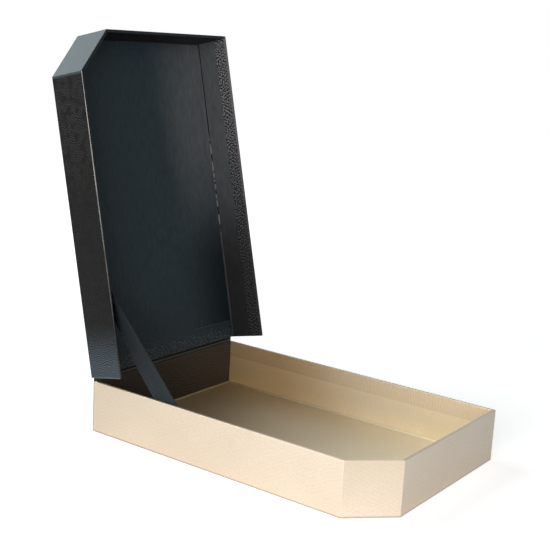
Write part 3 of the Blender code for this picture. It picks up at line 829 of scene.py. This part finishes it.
def tape(name):
    paint = Paint(name, 0.8)
    fibre = paint.noise(paint.scaled(paint.place(), KRAFT_STRETCH), KRAFT_FIBRES, detail=3.0)
    paint.colour(paint.mixed(fibre, *KRAFT_TONES))
    return paint.material


# The ribbon's weave, in metres across and along it
RIB_PITCH = 0.0007
RIB_SHARE = 0.7
YARN_PITCH = 0.0005
RIBBON_BUMP = (0.00012, 0.8)
RIBBON_TONES = ((0.007, 0.011, 0.015), (0.014, 0.020, 0.025))
CLOUD_STRETCH = (1, 0.3, 1)
CLOUD_SCALE = 120.0
MIDDLE_STARTS = (0.03, 0.07)
MIDDLE_ENDS = (0.105, 0.08)
MIDDLE_SHARE = 0.50
MIDDLE_TONE = (0.003, 0.005, 0.007)
MOTTLE_SCALE = 520.0
MOTTLE_FACTORS = (0.66, 1.34)
# The painted shadow along the ribbon's upper edge, and its tone
EDGE_SHADOW = (0.0012, 0.0004)
EDGE_SHADOW_TONE = (0.0015, 0.002, 0.0025)


def ribbon_weave(name):
    paint = Paint(name, 0.6, Sheen_Weight=0.05, Sheen_Roughness=0.4, Specular_IOR_Level=0.2)
    uv = paint.node("TexCoord").outputs["UV"]
    across, along, _ = paint.axes(uv)
    rib = paint.wave(paint.math("DIVIDE", along, RIB_PITCH))
    yarn = paint.wave(paint.math("DIVIDE", across, YARN_PITCH))
    weave = paint.math("ADD", paint.times(rib, RIB_SHARE), paint.times(yarn, 1 - RIB_SHARE))
    cloud = paint.noise(paint.scaled(uv, CLOUD_STRETCH), CLOUD_SCALE, detail=3.0)
    tone = paint.mixed(cloud, *RIBBON_TONES)
    middle = paint.times(paint.ranged(along, *MIDDLE_STARTS), paint.ranged(along, *MIDDLE_ENDS))
    tone = paint.mixed(paint.times(middle, MIDDLE_SHARE), tone, MIDDLE_TONE)
    tone = paint.shaded(tone, paint.spread(paint.noise(uv, MOTTLE_SCALE), *MOTTLE_FACTORS, False))
    # A painted shadow darkens the ribbon's upper edge, where it meets the lid's panel
    paint.colour(paint.mixed(paint.ranged(across, *EDGE_SHADOW), tone, EDGE_SHADOW_TONE))
    paint.bump(weave, *RIBBON_BUMP)
    return paint.material


# Meshes

COVE_STEPS = 5
# Points closer than this are one, and a crease sharper than this isn't smoothed
WELD = 1e-7
SHARP_DEG = 40
# How much of its sides a rounded corner may take, and its steps
CORNER_SHARE = 0.45
ROUND_STEPS = 5
STRIP_COLUMNS = 24
# Below this, the sine of the angle between two edges counts as none
PARALLEL = 0.01


def make_piece(name, points, faces, material, uvs=None):
    """A new object with these faces. Where it has no map, points that meet become one."""
    mesh = bpy.data.meshes.new(name)
    mesh.from_pydata([tuple(float(c) for c in p) for p in points], [], [tuple(f) for f in faces])
    if uvs:
        layer = mesh.uv_layers.new(name="cut")
        for loop in mesh.loops:
            layer.data[loop.index].uv = uvs[loop.vertex_index]
    else:
        shape = bmesh.new()
        shape.from_mesh(mesh)
        bmesh.ops.remove_doubles(shape, verts=shape.verts, dist=WELD)
        bmesh.ops.recalc_face_normals(shape, faces=shape.faces)
        shape.to_mesh(mesh)
        shape.free()
    mesh.validate()
    mesh.shade_smooth()
    mesh.set_sharp_from_angle(angle=math.radians(SHARP_DEG))
    mesh.materials.append(material)
    obj = bpy.data.objects.new(name, mesh)
    bpy.context.scene.collection.objects.link(obj)
    return obj


def sheet_solid(name, grid, thickness, material):
    """A closed sheet whose seen face is the grid of points, with its thickness behind that face."""
    grid = np.asarray(grid, float)
    rows, cols = grid.shape[:2]
    along = np.gradient(grid, axis=0)
    across = np.gradient(grid, axis=1)
    normal = np.cross(across, along)
    normal /= np.linalg.norm(normal, axis=2, keepdims=True)
    back = grid - normal * thickness
    points = np.concatenate([grid.reshape(-1, 3), back.reshape(-1, 3)])
    count = rows * cols
    last_row = rows - 1
    last_col = cols - 1

    def at(r, c, side):
        return side * count + r * cols + c

    faces = []
    for r in range(last_row):
        for c in range(last_col):
            faces.append((at(r, c, 0), at(r, c + 1, 0), at(r + 1, c + 1, 0), at(r + 1, c, 0)))
            faces.append((at(r, c, 1), at(r + 1, c, 1), at(r + 1, c + 1, 1), at(r, c + 1, 1)))
    for c in range(last_col):
        faces.append((at(0, c, 0), at(0, c, 1), at(0, c + 1, 1), at(0, c + 1, 0)))
        faces.append((at(last_row, c, 0), at(last_row, c + 1, 0), at(last_row, c + 1, 1), at(last_row, c, 1)))
    for r in range(last_row):
        faces.append((at(r, 0, 0), at(r + 1, 0, 0), at(r + 1, 0, 1), at(r, 0, 1)))
        faces.append((at(r, last_col, 0), at(r, last_col, 1), at(r + 1, last_col, 1), at(r + 1, last_col, 0)))
    step_u = np.linalg.norm(np.diff(grid, axis=1), axis=2).mean(0)
    step_v = np.linalg.norm(np.diff(grid, axis=0), axis=2).mean(1)
    u = np.concatenate([[0], np.cumsum(step_u)])
    v = np.concatenate([[0], np.cumsum(step_v)])
    flat = [(u[c], v[r]) for r in range(rows) for c in range(cols)]
    return make_piece(name, points, faces, material, uvs=flat + flat)


def rounded_path(corners, radius):
    """A path through the corners, each inner one rounded. Corners may carry more than two values."""
    corners = [np.array(c, float) for c in corners]
    path = [corners[0]]
    for before, corner, after in zip(corners, corners[1:], corners[2:]):
        to_before = np.linalg.norm((before - corner)[:2])
        to_after = np.linalg.norm((after - corner)[:2])
        reach = min(radius, to_before * CORNER_SHARE, to_after * CORNER_SHARE)
        start = corner + (before - corner) * reach / to_before
        end = corner + (after - corner) * reach / to_after
        for step in range(ROUND_STEPS + 1):
            t = step / ROUND_STEPS
            path.append((1 - t) ** 2 * start + 2 * t * (1 - t) * corner + t ** 2 * end)
    path.append(corners[-1])
    return path


def refined(path, longest):
    """The same path with long stretches cut into shorter ones."""
    fine = [path[0]]
    for a, b in zip(path, path[1:]):
        cuts = max(1, math.ceil(np.linalg.norm((b - a)[:2]) / longest))
        for cut in range(1, cuts + 1):
            fine.append(a + (b - a) * cut / cuts)
    return fine


def strip_across(name, path, thickness, material):
    """A strip as wide as the path says at each point, which gives Y, Z and the half width."""
    grid = []
    for y, z, half in path:
        grid.append([(-half + 2 * half * c / STRIP_COLUMNS, y, z) for c in range(STRIP_COLUMNS + 1)])
    return sheet_solid(name, grid, thickness, material)


# Hinge lining and spine cover, each one sheet across the hinge

HINGE_SHEET = 0.00015
CREASE_FOOT = 0.0506
FOLD = 0.0006
# Where the lining and the spine paper reach the lid, along its panel
LINING_ON_LID = 0.00057
SPINE_ON_LID = 0.0003
LONG_STEP = 0.004
SHORT_STEP = 0.0001


def build_hinge_lining(material):
    in_wall = TRAY_WIDTH / 2 - WALL - FIT_GAP
    on_rim = TRAY_WIDTH / 2 - PAPER - 2 * FIT_GAP
    in_lid = LID_HALF_WIDTH - WALL - FIT_GAP
    back = TRAY_LENGTH / 2
    crease = back - PAPER - FIT_GAP + PAPER / 10
    corners = [
        (back - WALL, FLOOR_TOP - PAPER, in_wall),
        (back - WALL, TRAY_HEIGHT, in_wall),
        (crease, TRAY_HEIGHT, on_rim),
        (crease, CREASE_FOOT, on_rim),
        (*lid_point(LINING_ON_LID, PAPER + FIT_GAP), in_lid),
        (*lid_point(LINING_ON_LID, LID_PANEL), in_lid),
        (*lid_point(HINGE_STRIP_ON_LID, LID_PANEL), in_lid),
    ]
    path = refined(rounded_path(corners, FOLD), LONG_STEP)
    lining = strip_across("hinge_lining", path, HINGE_SHEET, material)
    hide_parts("hinge_lining_tray", "hinge_lining_lid")
    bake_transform(lining)


def build_spine(material):
    back = TRAY_LENGTH / 2
    half = TRAY_WIDTH / 2
    knee = CREASE_FOOT - FIT_GAP
    on_lid = lid_point(SPINE_ON_LID, 0)
    low = refined([np.array((back, SPINE_FOOT, half)), np.array((back, knee, half))], LONG_STEP)
    high = refined([np.array((back, knee, half)), np.array((*on_lid, half))], SHORT_STEP)
    path = (low + high[1:])[::-1]
    spine = strip_across("spine_paper", path, PAPER, material)
    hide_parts("spine_cover")
    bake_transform(spine)


# Liners that turn up a little against the walls


def tray_outline(edge):
    """The tray's outline, with its clipped corner, this far inside its outer size."""
    half = TRAY_WIDTH / 2 - edge
    end = TRAY_LENGTH / 2 - edge
    clip = TRAY_WIDTH / 2 + TRAY_LENGTH / 2 - CLIP_LEG - edge * math.sqrt(2)
    return [(half, end), (-half, end), (-half, half - clip), (end - clip, -end), (half, -end)]


def inset_outline(outline, insets):
    """The outline, whose points go round it leftwards, with each edge moved inwards by its own inset."""
    lines = []
    for i, start in enumerate(outline):
        a = np.array(start, float)
        b = np.array(outline[(i + 1) % len(outline)], float)
        step = (b - a) / np.linalg.norm(b - a)
        lines.append((a + np.array([-step[1], step[0]]) * insets[i], step))
    moved = []
    for i in range(len(outline)):
        (p, u), (q, v) = lines[i - 1], lines[i]
        if abs(u[0] * v[1] - u[1] * v[0]) < PARALLEL:
            moved.append(q)
        else:
            moved.append(p + u * np.linalg.solve(np.array([u, -v]).T, q - p)[0])
    return moved


def liner_with_cove(name, outline, raised, cove, to_world, material):
    """A flat liner on the outline, whose raised edges curve up against the walls."""
    count = len(outline)
    rings = []
    for reach in (cove, cove + PAPER):
        for step in range(COVE_STEPS + 1):
            angle = math.pi / 2 * step / COVE_STEPS
            inset = cove - reach * math.cos(angle)
            height = cove - reach * math.sin(angle)
            flat = cove - reach
            ring = inset_outline(outline, [inset if up else 0.0 for up in raised])
            lifted = [raised[i - 1] or raised[i] for i in range(count)]
            rings.append([(*p, height if up else flat) for p, up in zip(ring, lifted)])
    points = [to_world(*p) for ring in rings for p in ring]
    steps = COVE_STEPS + 1
    faces = []
    for i in range(count):
        j = (i + 1) % count
        for k in range(COVE_STEPS):
            above = k * count
            below = (steps + k) * count
            faces.append((above + i, above + j, above + count + j, above + count + i))
            faces.append((below + i, below + count + i, below + count + j, below + j))
        faces.append((i, steps * count + i, steps * count + j, j))
    faces.append(tuple(COVE_STEPS * count + i for i in range(count)))
    faces.append(tuple((2 * steps - 1) * count + i for i in reversed(range(count))))
    return make_piece(name, points, faces, material)


def build_floor_liner(material):
    outline = tray_outline(WALL + FIT_GAP + PAPER)
    liner = liner_with_cove("tray_floor_paper", outline, [True] * len(outline), FLOOR_COVE,
                            lambda x, y, h: (x, y, FLOOR_TOP + h), material)
    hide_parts("tray_floor_liner")
    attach(liner, "tray")


# The wall liner's top edge, rubbed down over the turned-in wrap

LAP_BELOW = 0.0006
LAP_ABOVE = 0.0009
LAP_PROUD = 0.00005


def build_liner_lap(material):
    outline = tray_outline(0)
    back = TRAY_LENGTH / 2 - WALL - HINGE_SHEET - FIT_GAP
    runs = []
    for inset in (WALL, WALL + LAP_PROUD):
        corners = inset_outline(outline, [inset] * len(outline))
        runs.append([(corners[1][0], back), *[tuple(c) for c in corners[2:]], (corners[0][0], back)])
    levels = (LINER_TOP_LEVEL - LAP_BELOW, LINER_TOP_LEVEL + LAP_ABOVE)
    ring = [(0, levels[0]), (1, levels[0]), (1, levels[1]), (0, levels[1])]
    points = [(*runs[side][k], z) for k in range(len(runs[0])) for side, z in ring]
    faces = [(0, 1, 2, 3), tuple(len(points) - 1 - i for i in range(4))]
    for k in range(len(runs[0]) - 1):
        for i in range(4):
            j = (i + 1) % 4
            faces.append((4 * k + i, 4 * k + 4 + i, 4 * k + 4 + j, 4 * k + j))
    lap = make_piece("tray_liner_lap", points, faces, material)
    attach(lap, "tray")


def build_panel_liner(material):
    edge = WALL + FIT_GAP + PAPER
    half = LID_HALF_WIDTH - edge
    foot = HINGE_STRIP_ON_LID + FIT_GAP
    front = LID_FRONT - edge
    clip = LID_HALF_WIDTH + LID_FRONT - LID_CLIP_LEG - edge * math.sqrt(2)
    inner = half - 2 * COVE
    outline = [(inner, foot), (half, foot), (half, front), (front - clip, front), (-half, clip - half),
               (-half, foot), (-inner, foot)]
    raised = [False, True, True, True, True, False, False]
    liner = liner_with_cove("lid_panel_paper", outline, raised, COVE,
                            lambda x, s, h: (x, *lid_point(s, LID_PANEL + h)), material)
    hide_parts("lid_panel_liner")
    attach(liner, "lid")


# Ribbon stay

RIBBON_WIDTH = 0.020
RIBBON_THICKNESS = 0.0003
RIBBON_RISE_DEG = 46.3
RIBBON_FROM_HINGE = 0.0834
RIBBON_TWIST_DEG = 22
# The rise above the rim over which the ribbon takes up its twist
RIBBON_TWIST_RISE = 0.09
RIBBON_CAMBER = 0.0004
RIBBON_FOOT_LEVEL = LINER_TOP_LEVEL + 2 * FIT_GAP
RIBBON_FACE = -TRAY_WIDTH / 2 + WALL + FIT_GAP + RIBBON_THICKNESS
RIBBON_ROWS = 110
RIBBON_COLS = 13


def ribbon_grid():
    rise = math.radians(RIBBON_RISE_DEG)
    along = np.array([math.cos(rise), math.sin(rise)])
    across = np.array([-along[1], along[0]])
    centre = np.array([HINGE_Y - RIBBON_FROM_HINGE, TRAY_HEIGHT])
    lean = math.radians(LID_OPENING_DEG - 90)
    panel_in = np.array([-math.cos(lean), math.sin(lean)])
    panel_point = np.array([HINGE_Y, HINGE_Z]) + panel_in * (LID_PANEL + FIT_GAP)
    upper = centre + across * RIBBON_WIDTH / 2
    top_twist = math.radians(RIBBON_TWIST_DEG)
    grid = []
    for row in range(RIBBON_ROWS):
        share = row / (RIBBON_ROWS - 1)
        line = []
        for col in range(RIBBON_COLS):
            over = col / (RIBBON_COLS - 1) * RIBBON_WIDTH
            # At the top the strip has swung inwards about its upper edge, so its own width leans into X
            top = upper - across * over * math.cos(top_twist)
            foot = upper - across * over
            low = (RIBBON_FOOT_LEVEL - foot[1]) / along[1]
            high = (panel_point - top).dot(panel_in) / along.dot(panel_in)
            reach = low + (high - low) * share
            free = min(max((foot[1] + along[1] * reach - TRAY_HEIGHT) / RIBBON_TWIST_RISE, 0), 1)
            twist = top_twist * free * free * (3 - 2 * free)
            point = upper - across * over * math.cos(twist) + along * reach
            camber = RIBBON_CAMBER * math.sin(math.pi * col / (RIBBON_COLS - 1)) * math.sin(math.pi * share)
            line.append((RIBBON_FACE + over * math.sin(twist) + camber, point[0], point[1]))
        grid.append(line)
    return np.array(grid), along, centre


def build_ribbon(material):
    grid, along, centre = ribbon_grid()
    ribbon = sheet_solid("ribbon", grid, RIBBON_THICKNESS, material)
    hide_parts("ribbon_stay")
    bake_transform(ribbon)


def dress(name, material):
    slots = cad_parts[name].data.materials
    slots.clear()
    slots.append(material)


def main():
    add_camera()
    add_world()
    add_floor()
    for name, lamp in LAMPS.items():
        add_lamp(name, *lamp)
    lined_gold = gold_walls("gold_plain")
    paints = {
        "lid_wrap": lid_grain("black_grain_lid"),
        "lid_wall_liner": black_smooth("black_liner_walls", *WALL_LINER_TONES),
        "tray_wrap": gold_embossed("gold_embossed"),
        "tray_wall_liner": lined_gold,
        "tray_bottom_sheet": lined_gold,
    }
    board = greyboard("greyboard")
    kraft = tape("kraft_tape")
    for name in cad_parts:
        if name.endswith("_board"):
            dress(name, board)
        elif "_stay_" in name:
            dress(name, kraft)
        elif name in paints:
            dress(name, paints[name])
    build_hinge_lining(hinge_grain("black_grain_lining"))
    build_spine(spine_grain("black_grain_spine"))
    build_floor_liner(gold_floor("gold_floor"))
    build_liner_lap(lined_gold)
    build_panel_liner(black_smooth("black_liner_panel", *PANEL_LINER_TONES))
    build_ribbon(ribbon_weave("ribbon_weave"))


main()
bpy.context.scene.view_settings.view_transform = "Standard"
bpy.context.view_layer.update()
